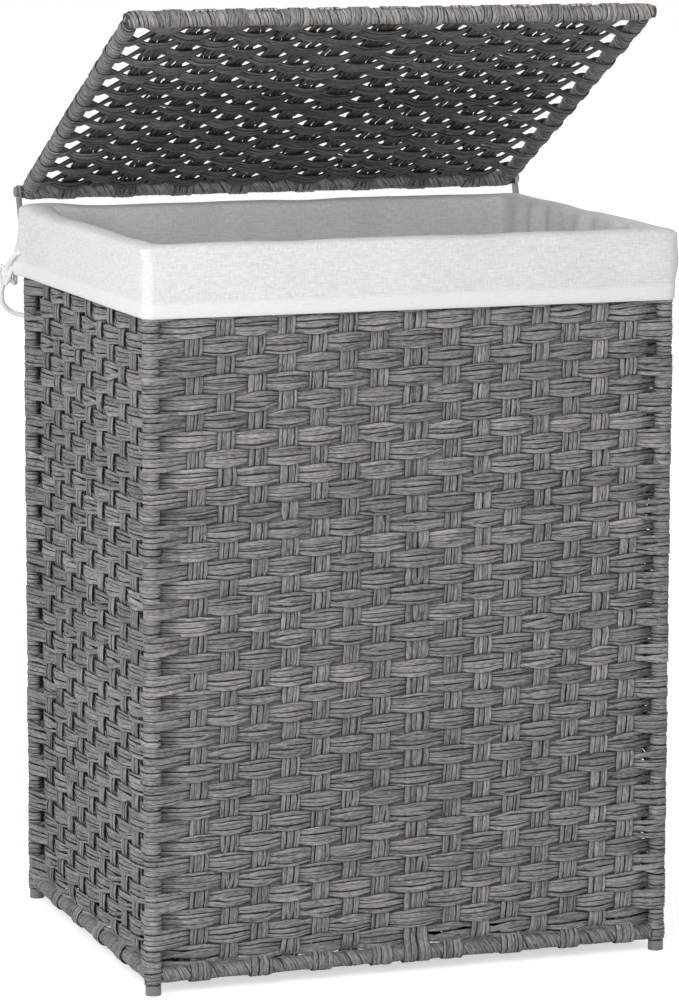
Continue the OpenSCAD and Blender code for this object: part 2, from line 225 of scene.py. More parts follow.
def strand_material(settings, name, level):
    """Extruded polyethylene strand, embossed with a lengthwise grain: satin ridges with darker streaks between.

    level is how light this kind of strand is beside the others.
    """
    made, tree, shader = new_material(name)
    # Attribute "grain" is millimetres along and across the strand, then a number of the strand's own.
    grain = node(tree, "ShaderNodeAttribute", attribute_name="grain").outputs["Vector"]
    tone = node(tree, "ShaderNodeAttribute", attribute_name="tone").outputs["Fac"]
    edge = node(tree, "ShaderNodeAttribute", attribute_name="edge").outputs["Fac"]
    # The real grain is about 0.3 mm wide; it is drawn about 0.6 mm wide so that it shows.
    fine = node(tree, "ShaderNodeTexNoise", Vector=in_steps(tree, grain, 5, 0.6, 1), Scale=1.0, Detail=2.0,
                Roughness=0.6)
    broad = node(tree, "ShaderNodeTexNoise", Vector=in_steps(tree, grain, 26, 3, 1), Scale=1.0, Detail=1.0)
    both = node(tree, "ShaderNodeMath", operation="MULTIPLY_ADD", _0=broad.outputs["Fac"], _1=0.45,
                _2=fine.outputs["Fac"])
    streak = node(tree, "ShaderNodeMapRange", _0=both.outputs[0], _1=0.45, _2=1.0, _3=0.0, _4=1.0)
    shade = node(tree, "ShaderNodeMix", data_type="RGBA", _0=streak.outputs[0],
                 _6=linear(settings.dark), _7=linear(settings.light))
    # Painted shade: each strand's colour darkens towards its edges, standing in for the shadow where strands press
    # together.
    painted_edge_shade = node(tree, "ShaderNodeMapRange", _0=edge, _1=0.72, _2=0.93, _3=1.0, _4=0.06)
    depth = node(tree, "ShaderNodeMath", operation="MULTIPLY", _0=tone, _1=painted_edge_shade.outputs[0])
    level_now = node(tree, "ShaderNodeMath", operation="MULTIPLY", _0=depth.outputs[0], _1=level)
    colour = node(tree, "ShaderNodeVectorMath", operation="SCALE", _0=shade.outputs[2], _3=level_now.outputs[0])
    tree.links.new(colour.outputs[0], shader.inputs["Base Color"])
    rough = node(tree, "ShaderNodeMapRange", _0=fine.outputs["Fac"], _1=0.2, _2=0.8, _3=0.62, _4=0.42)
    tree.links.new(rough.outputs[0], shader.inputs["Roughness"])
    bump = node(tree, "ShaderNodeBump", Strength=0.8, Distance=0.3 * MM, Height=both.outputs[0])
    tree.links.new(bump.outputs[0], shader.inputs["Normal"])
    shader.inputs["IOR"].default_value = 1.51
    return made


def linen_material(settings, name, contrast):
    """Plain-woven cotton and linen: even and matt, with thick and thin threads both ways."""
    made, tree, shader = new_material(name)
    # Attribute "cloth" is millimetres round and down the cloth. Threads are about 0.5 mm apart in reality;
    # they are drawn about 1.3 mm apart so that they show.
    cloth = node(tree, "ShaderNodeAttribute", attribute_name="cloth").outputs["Vector"]
    across = node(tree, "ShaderNodeTexNoise", Vector=in_steps(tree, cloth, 9, 1.6, 1), Scale=1.0, Detail=3.0,
                  Roughness=0.65)
    upright = node(tree, "ShaderNodeTexNoise", Vector=in_steps(tree, cloth, 1.7, 6, 1), Scale=1.0, Detail=3.0,
                   Roughness=0.65)
    cloudy = node(tree, "ShaderNodeTexNoise", Vector=in_steps(tree, cloth, 60, 45, 1), Scale=1.0, Detail=2.0)
    threads = node(tree, "ShaderNodeMath", operation="MULTIPLY_ADD", _0=across.outputs["Fac"], _1=1.2,
                   _2=upright.outputs["Fac"])
    total = node(tree, "ShaderNodeMath", operation="MULTIPLY_ADD", _0=cloudy.outputs["Fac"], _1=0.35,
                 _2=threads.outputs[0])
    level = node(tree, "ShaderNodeMapRange", _0=total.outputs[0], _1=0.95, _2=1.6, _3=1.0 - contrast, _4=1.0)
    base = linear(settings.cloth)
    colour = node(tree, "ShaderNodeVectorMath", operation="SCALE", _0=base[:3], _3=level.outputs[0])
    tree.links.new(colour.outputs[0], shader.inputs["Base Color"])
    bump = node(tree, "ShaderNodeBump", Strength=0.35, Distance=0.25 * MM, Height=threads.outputs[0])
    tree.links.new(bump.outputs[0], shader.inputs["Normal"])
    shader.inputs["Roughness"].default_value = 0.92
    shader.inputs["Sheen Weight"].default_value = 0.25
    shader.inputs["Sheen Roughness"].default_value = 0.5
    return made


def cotton_material(settings):
    """Twisted cotton cord: soft white, a little fluffy."""
    made, tree, shader = new_material("twisted_cotton")
    place = node(tree, "ShaderNodeTexCoord").outputs["Object"]
    fluff = node(tree, "ShaderNodeTexNoise", Vector=place, Scale=900.0, Detail=2.0)
    level = node(tree, "ShaderNodeMapRange", _0=fluff.outputs["Fac"], _1=0.3, _2=0.7, _3=0.86, _4=1.0)
    colour = node(tree, "ShaderNodeVectorMath", operation="SCALE", _0=linear(settings.cloth)[:3],
                  _3=level.outputs[0])
    tree.links.new(colour.outputs[0], shader.inputs["Base Color"])
    bump = node(tree, "ShaderNodeBump", Strength=0.5, Distance=0.2 * MM, Height=fluff.outputs["Fac"])
    tree.links.new(bump.outputs[0], shader.inputs["Normal"])
    shader.inputs["Roughness"].default_value = 0.95
    shader.inputs["Sheen Weight"].default_value = 0.3
    return made


def mottled_material(name, speckles, detail, darker, lighter):
    """A material whose colour shifts between two, with so many speckles to a metre; also their pattern."""
    made, tree, shader = new_material(name)
    place = node(tree, "ShaderNodeTexCoord").outputs["Object"]
    mottle = node(tree, "ShaderNodeTexNoise", Vector=place, Scale=speckles, Detail=detail).outputs["Fac"]
    shade = node(tree, "ShaderNodeMix", data_type="RGBA", _0=mottle, _6=linear(darker), _7=linear(lighter))
    tree.links.new(shade.outputs[2], shader.inputs["Base Color"])
    return made, tree, shader, place, mottle


def coated_steel_material():
    """Powder-coated steel tube: dark grey, faintly pebbled."""
    made, tree, shader, _, pebble = mottled_material("powder_coated_steel", 1400.0, 2.0, "3A3938", "4C4A49")
    bump = node(tree, "ShaderNodeBump", Strength=0.3, Distance=0.05 * MM, Height=pebble)
    tree.links.new(bump.outputs[0], shader.inputs["Normal"])
    shader.inputs["Roughness"].default_value = 0.5
    return made


def zinc_material():
    """Zinc-plated steel strip, punched: grey metal with a soft mottle and fine rolling lines."""
    made, tree, shader, place, _ = mottled_material("zinc_plated_steel", 260.0, 3.0, "8B8D8F", "C3C5C7")
    lines = node(tree, "ShaderNodeTexNoise", Vector=in_steps(tree, place, 1, 1 / 2600, 1 / 120), Scale=1.0)
    rough = node(tree, "ShaderNodeMapRange", _0=lines.outputs["Fac"], _1=0.3, _2=0.7, _3=0.28, _4=0.46)
    tree.links.new(rough.outputs[0], shader.inputs["Roughness"])
    shader.inputs["Metallic"].default_value = 1.0
    return made


def cap_material():
    """Moulded polyethylene cap, milky and half clear."""
    made, _, shader, _, _ = mottled_material("moulded_clear_cap", 300.0, 2.0, "838485", "A9AAAB")
    shader.inputs["Roughness"].default_value = 0.3
    shader.inputs["IOR"].default_value = 1.51
    shader.inputs["Transmission Weight"].default_value = 0.35
    return made


def floor_material(settings):
    """Matt studio card, with the faintest fibre."""
    made, tree, shader = new_material("studio_card")
    place = node(tree, "ShaderNodeTexCoord").outputs["Object"]
    fibre = node(tree, "ShaderNodeTexNoise", Vector=place, Scale=40.0, Detail=3.0)
    level = node(tree, "ShaderNodeMapRange", _0=fibre.outputs["Fac"], _1=0.3, _2=0.7, _3=0.985, _4=1.0)
    colour = node(tree, "ShaderNodeVectorMath", operation="SCALE", _0=linear(settings.floor)[:3],
                  _3=level.outputs[0])
    tree.links.new(colour.outputs[0], shader.inputs["Base Color"])
    shader.inputs["Roughness"].default_value = 0.9
    # A light table's own light is added only where the card is looked at, so that it does not light the hamper.
    seen = node(tree, "ShaderNodeLightPath").outputs["Is Camera Ray"]
    glow = node(tree, "ShaderNodeMath", operation="MULTIPLY", _0=seen, _1=settings.glow)
    shader.inputs["Emission Color"].default_value = (1, 1, 1, 1)
    tree.links.new(glow.outputs[0], shader.inputs["Emission Strength"])
    return made


MATERIALS = {}


def finish_of(name):
    """Makes each material once, by its slot in the record."""
    scene = bpy.context.scene
    makers = {
        "weft_strand": lambda: strand_material(scene.hamper_strand, "embossed_polyethylene_weft", 1.0),
        "stake_strand": lambda: strand_material(scene.hamper_strand, "embossed_polyethylene_stake", 1.06),
        "wound_strand": lambda: strand_material(scene.hamper_strand, "embossed_polyethylene_winding", 1.0),
        "liner_cloth": lambda: linen_material(scene.hamper_liner, "plain_woven_linen", 0.26),
        "hem_cloth": lambda: linen_material(scene.hamper_liner, "pressed_linen_hem", 0.1),
        "tie_cotton": lambda: cotton_material(scene.hamper_liner),
        "frame_steel": coated_steel_material,
        "hinge_steel": zinc_material,
        "foot_cap": cap_material,
    }
    if name not in MATERIALS:
        MATERIALS[name] = makers[name]()
    return MATERIALS[name]


# Strand geometry

# A strand's section: across and out, as shares of its half width and half thickness
SECTION = np.array([
    (-1, -0.45), (-0.94, 0.45), (-0.66, 1), (0.66, 1), (0.94, 0.45), (1, -0.45), (0.66, -1), (-0.66, -1),
])
CAPS = np.array([[0, 1, 2, 3], [0, 3, 4, 7], [4, 5, 6, 7]])


class StrandMesh:
    """Collects strands as closed tubes of flat section, and makes one mesh of them."""

    def __init__(self):
        self.points, self.quads, self.tones, self.grains, self.edges = [], [], [], [], []
        self.count = 0

    def add(self, path, out, width, thickness, tone, number, tilt=0.0, back=1.0):
        """path and out are (n, 3); width, tone and tilt are numbers or arrays of n; back is the far side's tone.

        number sets this strand's own part of the grain.
        """
        n, sides = len(path), len(SECTION)
        along = np.gradient(path, axis=0)
        along /= np.linalg.norm(along, axis=1)[:, None]
        across = np.cross(along, out)
        across /= np.linalg.norm(across, axis=1)[:, None]
        up = np.cross(across, along)
        width, tone, tilt = (np.broadcast_to(v, n) for v in (width, tone, tilt))
        x = SECTION[None, :, 0] * (width / 2)[:, None]
        y = SECTION[None, :, 1] * (thickness / 2)
        turn_x = x * np.cos(tilt)[:, None] - y * np.sin(tilt)[:, None]
        turn_y = x * np.sin(tilt)[:, None] + y * np.cos(tilt)[:, None]
        ring = path[:, None] + turn_x[..., None] * across[:, None] + turn_y[..., None] * up[:, None]
        length = np.concatenate([[0], np.cumsum(np.linalg.norm(np.diff(path, axis=0), axis=1))])
        grain = np.empty((n, sides, 3))
        grain[..., 0] = (length / MM)[:, None]
        grain[..., 1] = x / MM
        grain[..., 2] = number * 7.31
        i, k = np.meshgrid(np.arange(n - 1), np.arange(sides), indexing="ij")
        after = (k + 1) % sides
        wall = np.stack([i * sides + k, (i + 1) * sides + k, (i + 1) * sides + after, i * sides + after], axis=-1)
        last = (n - 1) * sides + CAPS[:, ::-1]
        self.quads.append(np.concatenate([wall.reshape(-1, 4), CAPS, last]) + self.count)
        self.points.append(ring.reshape(-1, 3))
        # The far side may get its own tone; the lid uses this for painted shade on its underside.
        self.tones.append(np.outer(tone, np.where(SECTION[:, 1] < 0, back, 1.0)).ravel())
        self.grains.append(grain.reshape(-1, 3))
        # Attribute "edge" is how far across the strand a point lies; the strand material paints shade by it.
        self.edges.append(np.tile(np.abs(SECTION[:, 0]), n))
        self.count += n * sides

    def build(self, name, slot, body, replaced):
        """The piece: smooth, with its attributes and material, riding on its body."""
        attributes = {
            "tone": ("FLOAT", "value", np.concatenate(self.tones)),
            "grain": ("FLOAT_VECTOR", "vector", np.concatenate(self.grains)),
            "edge": ("FLOAT", "value", np.concatenate(self.edges)),
        }
        piece = quad_mesh(name, np.concatenate(self.points), np.concatenate(self.quads), attributes)
        return place_piece(piece, slot, body, replaced)


def quad_mesh(name, points, quads, attributes):
    mesh = bpy.data.meshes.new(name)
    mesh.vertices.add(len(points))
    mesh.vertices.foreach_set("co", points.astype(np.float32).ravel())
    mesh.loops.add(quads.size)
    mesh.loops.foreach_set("vertex_index", quads.astype(np.int32).ravel())
    mesh.polygons.add(len(quads))
    mesh.polygons.foreach_set("loop_start", np.arange(0, quads.size, 4, dtype=np.int32))
    mesh.polygons.foreach_set("use_smooth", np.ones(len(quads), bool))
    for key, (kind, field, values) in attributes.items():
        mesh.attributes.new(key, kind, "POINT").data.foreach_set(field, values.astype(np.float32).ravel())
    mesh.update(calc_edges=True)
    mesh.validate()
    made = bpy.data.objects.new(name, mesh)
    bpy.context.scene.collection.objects.link(made)
    return made


def place_piece(piece, slot, body, replaced, material=None):
    piece.data.materials.append(finish_of(material or slot))
    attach(piece, body)
    if replaced:
        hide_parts(*replaced)
    return piece


def smooth(t):
    t = np.clip(t, 0, 1)
    return t * t * (3 - 2 * t)


def bell(distance, width):
    """1 at no distance, falling off to both sides over the width."""
    return np.exp(-((distance / width) ** 2))


class Panel:
    """A flat weave: its place and its three directions in the row frame."""

    def __init__(self, origin, along, up, out):
        self.origin, self.along, self.up, self.out = (np.array(v, float) for v in (origin, along, up, out))

    def turned(self):
        """The same panel with its up direction as its along direction, for the stakes."""
        return Panel(self.origin, self.up, self.along, self.out)

    def points(self, a, b, w):
        return self.origin + np.outer(a, self.along) + np.outer(b, self.up) + np.outer(w, self.out)

    def ways(self, a, w):
        return np.outer(a, self.along) + np.outer(w, self.out)


# Share of the way between two crossings that stays level at each of them
FLAT_SHARE = 0.12


def bundle_line(crossed, signs, lift, ends, steps):
    """Middle line of a bundle, as (along, out), which way its face points, and its phase at each point.

    crossed are the places that it passes, signs +1 in front and -1 behind. ends are two rods, each as (place,
    radius, sign), round which the bundle is turned at its two ends.
    """
    places = np.concatenate([[ends[0][0]], crossed, [ends[1][0]]])
    sides = np.concatenate([[ends[0][2]], signs, [ends[1][2]]])
    lifts = np.concatenate([[ends[0][1]], np.full(len(crossed), lift), [ends[1][1]]])
    level = sides * lifts
    a, w, phase = [], [], []
    for i in range(len(places) - 1):
        t = np.arange(steps) / steps
        step = smooth((t - FLAT_SHARE) / (1 - 2 * FLAT_SHARE))
        a.append(places[i] + (places[i + 1] - places[i]) * t)
        w.append(level[i] + (level[i + 1] - level[i]) * step)
        phase.append(i + t)
    a, w, phase = (np.concatenate(v) for v in (a, w, phase))
    turns = []
    for (place, radius, sign), way in zip(ends, (-1, 1)):
        # A bundle in front of its rod goes on round the rod's back; one behind it ends there, out of sight.
        sweep = np.radians(np.linspace(90, -110, 11) if sign > 0 else np.linspace(-90, -25, 4))
        turns.append((place + way * radius * np.cos(sweep), radius * np.sin(sweep)))
    start_a, start_w = (v[::-1][:-1] for v in turns[0])
    end_a, end_w = turns[1]
    last = len(places) - 1
    a = np.concatenate([start_a, a, end_a])
    w = np.concatenate([start_w, w, end_w])
    phase = np.concatenate([np.zeros(len(start_a)), phase, np.full(len(end_a), last)])
    run = np.gradient(np.stack([a, w], axis=1), axis=0)
    run /= np.linalg.norm(run, axis=1)[:, None]
    return a, w, -run[:, 1], run[:, 0], phase, sides


def slots_at(order, widths, room):
    """Where each strand's middle lies when the strands lie side by side in this order, and fill the room."""
    row = widths[order]
    row = row / row.sum() * room
    middle = np.cumsum(row) - row / 2 - room / 2
    place = np.empty(len(order))
    place[order] = middle
    return place


# How uneven the strands of a bundle are: their widths beside each other, the tones of a row, of the stretch
# between two crossings and of a strand, and how far a strand wanders, as a share of the room.
STRAND_WIDTHS = (0.6, 1.7)
ROW_TONE, FLOAT_TONE, STRAND_TONE = 0.1, 0.05, 0.08
WANDER = 0.03


def add_bundle(mesh, panel, b_middle, crossed, signs, lift, ends, steps, look, rng):
    """Strands side by side that run along a panel in front of and behind what they cross.

    b_middle is a number, or a function of the places along. look holds room (the bundle's width), count (the
    numbers of strands to draw from), thickness, spread (shares of the room in front, between and behind), slant,
    swap (how likely two neighbours change places at a crossing) and tone. It may hold end_spread and end_tone,
    for the two ends, and back, for the far side's tone.
    """
    a, w, face_a, face_w, phase, sides = bundle_line(crossed, signs, lift, ends, steps)
    middle = b_middle(a) if callable(b_middle) else b_middle
    count = look["count"][rng.integers(len(look["count"]))]
    widths = rng.uniform(*STRAND_WIDTHS, count)
    stations = np.arange(len(sides))
    order = rng.permutation(count)
    places = []
    for _ in stations:
        places.append(slots_at(order, widths, look["room"]))
        if count > 1 and rng.random() < look["swap"]:
            k = rng.integers(count - 1)
            order[[k, k + 1]] = order[[k + 1, k]]
    places = np.array(places)
    index = np.clip(phase.astype(int), 0, len(sides) - 2)
    part = smooth(phase - index)
    height = sides[index] * np.cos(np.pi * (phase - index))
    front, between, behind = look["spread"]
    spread = between + np.where(height > 0, front - between, behind - between) * np.abs(height)
    from_end = np.minimum(phase, stations[-1] - phase)
    end_zone = smooth(1.2 - from_end)
    spread = spread + (look.get("end_spread", 1.12) - spread) * end_zone
    calm = 1 - 0.65 * smooth(1 - 3 * from_end)
    lean = look["slant"] * sides[index] * np.sin(np.pi * (phase - index))
    row_tone = look["tone"] * rng.normal(1.0, ROW_TONE)
    float_tone = rng.normal(1.0, FLOAT_TONE, len(stations))
    float_tone[[0, -1]] *= look.get("end_tone", 1.0)
    float_tone = np.interp(phase, stations, float_tone)
    wander = look["room"] * WANDER
    for s in range(count):
        place = places[index, s] * (1 - part) + places[index + 1, s] * part
        rise = places[index + 1, s] - places[index, s]
        # Of two strands that change places, one rises over the other.
        hump = np.sin(np.pi * (phase - index)) ** 2 * np.sign(rise) * np.minimum(np.abs(rise) / (2 * MM), 1)
        wave = rng.uniform(0.35, 0.9) * phase + rng.uniform(0, 6.28)
        b = middle + place * spread + lean + wander * np.sin(wave)
        depth = calm * (0.2 * MM * ((s % 2) * 2 - 1) + 0.12 * MM * np.sin(wave * 1.7)) + 0.2 * MM * hump
        path = panel.points(a + face_a * depth, b, w + face_w * depth)
        width = widths[s] / widths.sum() * look["room"] * spread * 1.03
        tone = row_tone * float_tone * rng.normal(1.0, STRAND_TONE) * (1 + 0.05 * np.sin(wave * 2.3))
        tilt = rng.normal(0, 0.07) + 0.06 * np.sin(wave * 1.3 + 1)
        mesh.add(path, panel.ways(face_a, face_w), width, look["thickness"], tone, rng.uniform(0, 900), tilt,
                 look.get("back", 1.0))


# The swell of a lid rail where its winding is tied off, this far from its end, and the taper at the end itself
SWELL_AT, SWELL_LENGTH, TAPER_LENGTH = 13 * MM, 8 * MM, 3 * MM
WINDING_R = ROD_R + 0.05 * MM


def add_winding(mesh, start, end, radius, strand, starts, thickness, tone, rng, swell=0.0, hand=1, rings=11):
    """Strand wound round a rod from start to end, with so many strands side by side."""
    start, end = Vector(start), Vector(end)
    way = (end - start).normalized()
    side = way.cross(Vector((0.31, 0.47, 0.83))).normalized()
    other = way.cross(side)
    length = (end - start).length
    pitch = starts * strand
    turns = length / pitch
    n = max(8, int(turns * rings))
    t = np.linspace(0, 1, n)
    mid = radius + thickness / 2
    for s in range(starts):
        angle = hand * 2 * np.pi * (t * turns + s / starts)
        reach = length * t
        wobble = 0.12 * np.sin(angle * 0.37 + s) + 0.1 * np.sin(angle * 0.113 + 2 * s)
        from_end = np.minimum(t, 1 - t) * length
        fuller = 1 + swell * (bell(from_end - SWELL_AT, SWELL_LENGTH) - 6 * bell(from_end, TAPER_LENGTH))
        r = (mid + 0.25 * MM * np.sin(reach / (6 * MM) + 2 * np.sin(reach / (27 * MM)))) * fuller
        radial = np.outer(np.cos(angle), side) + np.outer(np.sin(angle), other)
        path = np.array(start) + np.outer(reach + wobble * strand, way) + radial * r[:, None]
        turn_tone = np.interp(t * turns, np.arange(int(turns) + 2), rng.normal(1.0, 0.09, int(turns) + 2))
        mesh.add(path, radial, strand * 1.06, thickness, tone * turn_tone, rng.uniform(0, 900))


def rod_ends(low, high, radius, low_sign, high_sign):
    return ((low, radius, low_sign), (high, radius, high_sign))


# Walls

WALLS = {
    "front": (Panel((0, FRONT_Y, 0), (1, 0, 0), (0, 0, 1), (0, -1, 0)), FRONT_STAKES, HALF_W, 0),
    "rear": (Panel((0, REAR_Y, 0), (-1, 0, 0), (0, 0, 1), (0, 1, 0)), FRONT_STAKES, HALF_W, 0),
    "left": (Panel((-HALF_W, MIDDLE_Y, 0), (0, -1, 0), (0, 0, 1), (-1, 0, 0)), SIDE_STAKES, HALF_D, 1),
    "right": (Panel((HALF_W, MIDDLE_Y, 0), (0, 1, 0), (0, 0, 1), (1, 0, 0)), SIDE_STAKES, HALF_D, 1),
}
POST_TURN_R = ROD_R + 1.05 * MM
BASE_TURN_R = ROD_R + 2.05 * MM
RIM_TURN_R = ROD_R + 0.75 * MM
ROW_PITCH = (WALL_HIGH - WALL_LOW) / WALL_ROWS
STAKE_ROOM = 15.6 * MM
MIDDLE_STAKE_ROOM = 21 * MM
# The first row is packed down on the base rail, and hides the liner behind it.
FIRST_ROW_DOWN, FIRST_ROW_WIDER = 1.7 * MM, 4.5 * MM
# The front stakes' sway: near the rim, how much more lower down, and where it grows
SWAY_TOP, SWAY_MORE, SWAY_FROM, SWAY_OVER = 1.7 * MM, 3.4 * MM, 0.56, 0.26
LAST_STAKE_SHARE = 0.6


def row_height(row):
    return WALL_LOW + (row + 0.5) * ROW_PITCH


def sway(name, height):
    """How far the front stakes were pushed to the right in weaving: least near the rim, where they are tied."""
    if name != "front":
        return 0.0 * height
    return SWAY_TOP + SWAY_MORE * smooth((SWAY_FROM - height) / SWAY_OVER)


def alternate(count, first):
    """+1 and -1 in turn, for so many crossings."""
    return np.where((np.arange(count) + first) % 2 == 0, 1, -1)


def stake_share(count):
    """The last stake has less room to move than the others."""
    share = np.ones(count)
    share[-1] = LAST_STAKE_SHARE
    return share


def wall_rows_mesh(name, rows, settings, rng):
    panel, stakes, reach, shift = WALLS[name]
    mesh = StrandMesh()
    look = {
        "room": ROW_PITCH, "count": (4, 5, 5), "thickness": settings.thickness, "spread": (1.09, 0.88, 0.8),
        "slant": 0.5 * MM, "swap": 0.3, "tone": 1.0,
    }
    for row in rows:
        signs = alternate(len(stakes), row + shift)
        ends = rod_ends(-reach, reach, POST_TURN_R + rng.uniform(-0.1, 0.8) * MM, -signs[0], -signs[-1])
        middle = row_height(row) + rng.normal(0, 0.25) * MM - (FIRST_ROW_DOWN if row == 0 else 0)
        look["room"] = ROW_PITCH + (FIRST_ROW_WIDER if row == 0 else 0)
        crossed = stakes + sway(name, row_height(row)) * stake_share(len(stakes))
        add_bundle(mesh, panel, middle, crossed, signs, settings.weft_lift, ends, 5, look, rng)
    return mesh


def wall_stakes_mesh(name, settings, rng):
    panel, stakes, reach, shift = WALLS[name]
    mesh = StrandMesh()
    heights = np.array([row_height(row) for row in range(WALL_ROWS)])
    for k, place in enumerate(stakes):
        middle_one = len(stakes) == len(FRONT_STAKES) and k == len(stakes) // 2
        signs = -alternate(WALL_ROWS, k + shift)
        base_sign = 1 if middle_one else -signs[0]
        ends = ((BASE_Z, BASE_TURN_R, base_sign), (RIM_Z, RIM_TURN_R, -signs[-1]))
        share = stake_share(len(stakes))[k]
        look = {
            "room": MIDDLE_STAKE_ROOM if middle_one else STAKE_ROOM, "count": (4, 4, 5),
            "thickness": settings.thickness, "spread": (1.0, 0.93, 0.9), "slant": 0.5 * MM, "swap": 0.05,
            "tone": 0.84 if middle_one else 0.96,
        }

        def middle(along, place=place, share=share):
            return place + sway(name, along) * share

        add_bundle(mesh, panel.turned(), middle, heights, signs, settings.stake_lift, ends, 3, look, rng)
    return mesh


def corner(side, end, z):
    return Vector((SIDES[side] * HALF_W, FRONT_Y if end == "front" else REAR_Y, z))


class HAMPER_OT_wefts(bpy.types.Operator):
    """Weave the weft rows of the four walls, turned round the posts in alternate rows"""

    bl_idname = "hamper.wefts"
    bl_label = "Wall wefts"

    def execute(self, context):
        settings = context.scene.hamper_strand
        rng = np.random.default_rng(settings.seed)
        half = WALL_ROWS // 2
        for name in WALLS:
            for part, rows in (("lower", range(half)), ("upper", range(half, WALL_ROWS))):
                mesh = wall_rows_mesh(name, rows, settings, rng)
                mesh.build(f"weft_rows_{name}_{part}", "weft_strand", "basket", [f"wefts_{name}"])
        return {"FINISHED"}


class HAMPER_OT_stakes(bpy.types.Operator):
    """Weave the upright stakes of the four walls, looped over the rails in turn"""

    bl_idname = "hamper.stakes"
    bl_label = "Wall stakes"

    def execute(self, context):
        settings = context.scene.hamper_strand
        rng = np.random.default_rng(settings.seed + 1)
        for name in WALLS:
            mesh = wall_stakes_mesh(name, settings, rng)
            mesh.build(f"stake_strands_{name}", "stake_strand", "basket", [f"stakes_{name}"])
        return {"FINISHED"}


WALL_STRAND = 3 * MM
POST_TONE, RAIL_TONE = 0.92, 0.95
# From a post's middle to the first turn of a rail's winding
RAIL_GAP = 6 * MM


class HAMPER_OT_windings(bpy.types.Operator):
    """Wind strand round the posts, the base rails and the rim"""

    bl_idname = "hamper.windings"
    bl_label = "Basket windings"

    def execute(self, context):
        settings = context.scene.hamper_strand
        rng = np.random.default_rng(settings.seed + 2)
        for end in ENDS:
            for side in SIDES:
                low, high = (v[2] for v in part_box(f"post_wrap_{end}_{side}"))
                mesh = StrandMesh()
                add_winding(mesh, corner(side, end, low), corner(side, end, high), WINDING_R, WALL_STRAND, 2,
                            0.5 * MM, POST_TONE, rng, rings=9)
                # A few more turns bind the post to the base rails.
                add_winding(mesh, corner(side, end, BASE_Z - 6 * MM), corner(side, end, BASE_Z + 7 * MM),
                            ROD_R + 1.1 * MM, WALL_STRAND, 1, 1.2 * MM, POST_TONE, rng)
                mesh.build(f"post_winding_{end}_{side}", "wound_strand", "basket", [f"post_wrap_{end}_{side}"])
        for kind, z in (("base", BASE_Z), ("rim", RIM_Z)):
            rails = [(end, corner("left", end, z), corner("right", end, z), -sign) for end, sign in ENDS.items()]
            rails += [(side, corner(side, "front", z), corner(side, "rear", z), sign) for side, sign in SIDES.items()]
            for name, start, stop, hand in rails:
                gap = (stop - start).normalized() * RAIL_GAP
                mesh = StrandMesh()
                add_winding(mesh, start + gap, stop - gap, WINDING_R, WALL_STRAND, 6, 1.25 * MM, RAIL_TONE, rng,
                            hand=hand)
                mesh.build(f"{kind}_winding_{name}", "wound_strand", "basket", [f"{kind}_wrap_{name}"])
        return {"FINISHED"}


# Floor panel

# From the posts' middles to the woven part of the floor, and to its ends
FLOOR_EDGE, FLOOR_END = 7.5 * MM, 9 * MM
FLOOR_TURN_R = 1.2 * MM


class HAMPER_OT_floor_panel(bpy.types.Operator):
    """Weave the floor panel inside the base rails"""

    bl_idname = "hamper.floor_panel"
    bl_label = "Floor panel"

    def execute(self, context):
        settings = context.scene.hamper_strand
        rng = np.random.default_rng(settings.seed + 3)
        panel = Panel((0, MIDDLE_Y, FLOOR_Z), (1, 0, 0), (0, 1, 0), (0, 0, -1))
        room = 2 * (HALF_D - FLOOR_EDGE) / FLOOR_ROWS
        rows = (np.arange(FLOOR_ROWS) + 0.5) * room - HALF_D + FLOOR_EDGE
        weft_look = {
            "room": room * 0.86, "count": (4,), "thickness": 1.2 * MM, "spread": (1.0, 0.9, 0.9), "slant": 0.0,
            "swap": 0.3, "tone": 0.95,
        }
        wefts, stakes = StrandMesh(), StrandMesh()
        edge = HALF_W - FLOOR_END
        for row, place in enumerate(rows):
            signs = alternate(len(FRONT_STAKES), row)
            ends = rod_ends(-edge, edge, FLOOR_TURN_R, -signs[0], -signs[-1])
            add_bundle(wefts, panel, place, FRONT_STAKES, signs, 1.9 * MM, ends, 4, weft_look, rng)
        edge = HALF_D - FLOOR_END
        for k, place in enumerate(FRONT_STAKES):
            signs = -alternate(FLOOR_ROWS, k)
            look = dict(weft_look, room=STAKE_ROOM, spread=(1.0, 0.96, 0.95))
            ends = rod_ends(-edge, edge, FLOOR_TURN_R, -signs[0], -signs[-1])
            add_bundle(stakes, panel.turned(), place, rows, signs, 0.6 * MM, ends, 3, look, rng)
        wefts.build("floor_weft_rows", "weft_strand", "basket", ["floor_wefts"])
        stakes.build("floor_stake_strands", "stake_strand", "basket", ["floor_stakes"])
        return {"FINISHED"}


# Lid

LID_PANEL = Panel(HINGE_AT, (1, 0, 0), LID_WAY, LID_UNDER)
LID_RAIL_TURN_R = ROD_R + 1.7 * MM
LID_SIDE_TURN_R = ROD_R + 1.6 * MM
# From a rail's middle to the first row, and to the side rails' first turns
LID_EDGE, LID_SIDE_GAP = 7.2 * MM, 6 * MM
LID_ROW_ROOM = 14.6 * MM
LID_RAIL_REACH = HALF_W + 5.5 * MM
LID_STRAND = 3.1 * MM
LID_SIDE_TONE = 0.92
LID_SWELL = 0.05


def on_lid(x, along):
    return Vector((x, HINGE_AT.y, HINGE_AT.z)) + LID_WAY * along


